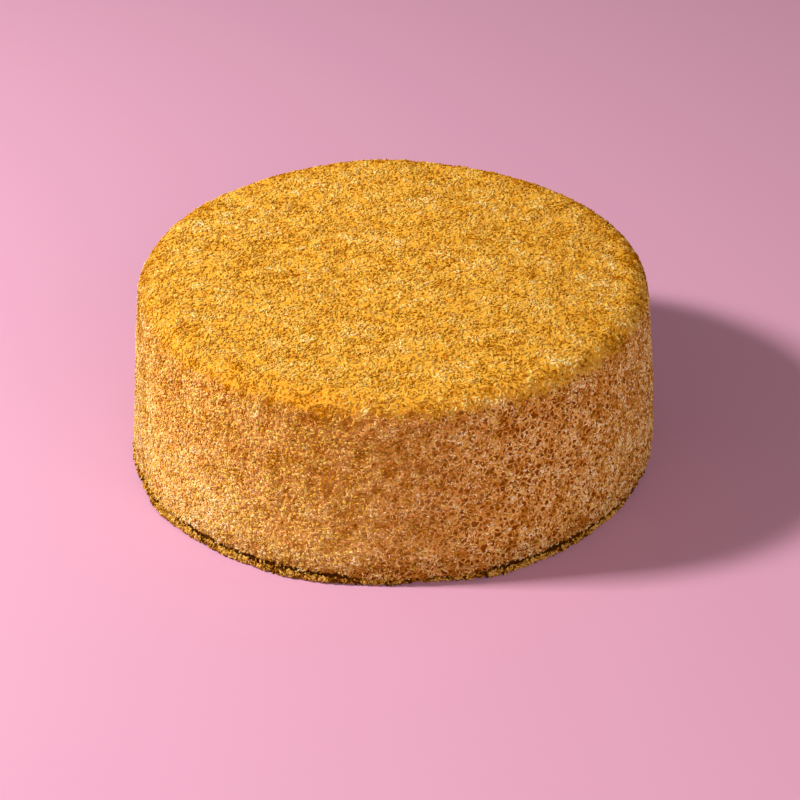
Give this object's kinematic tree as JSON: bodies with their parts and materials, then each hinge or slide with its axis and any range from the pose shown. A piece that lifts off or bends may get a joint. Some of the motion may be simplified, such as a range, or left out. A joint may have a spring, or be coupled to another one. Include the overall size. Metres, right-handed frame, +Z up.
{
  "type": "honey cake",
  "caption": "Whole, uncut round honey cake with a leaning side, a rounded shoulder and a flat top, coated all over in fine golden crumbs.",
  "frame": {"origin": "centre of the flat base, on the surface that the cake stands on", "axes": "+Z up; -Y is the side that faced the camera; +X to the right of it"},
  "size_m": [0.2006, 0.2002, 0.0726],
  "materials": {
    "crumb_coat": "rough, dry, fine sponge crumbs"
  },
  "bodies": {
    "root": {"cake": "crumb_coat"}
  },
  "joints": []
}
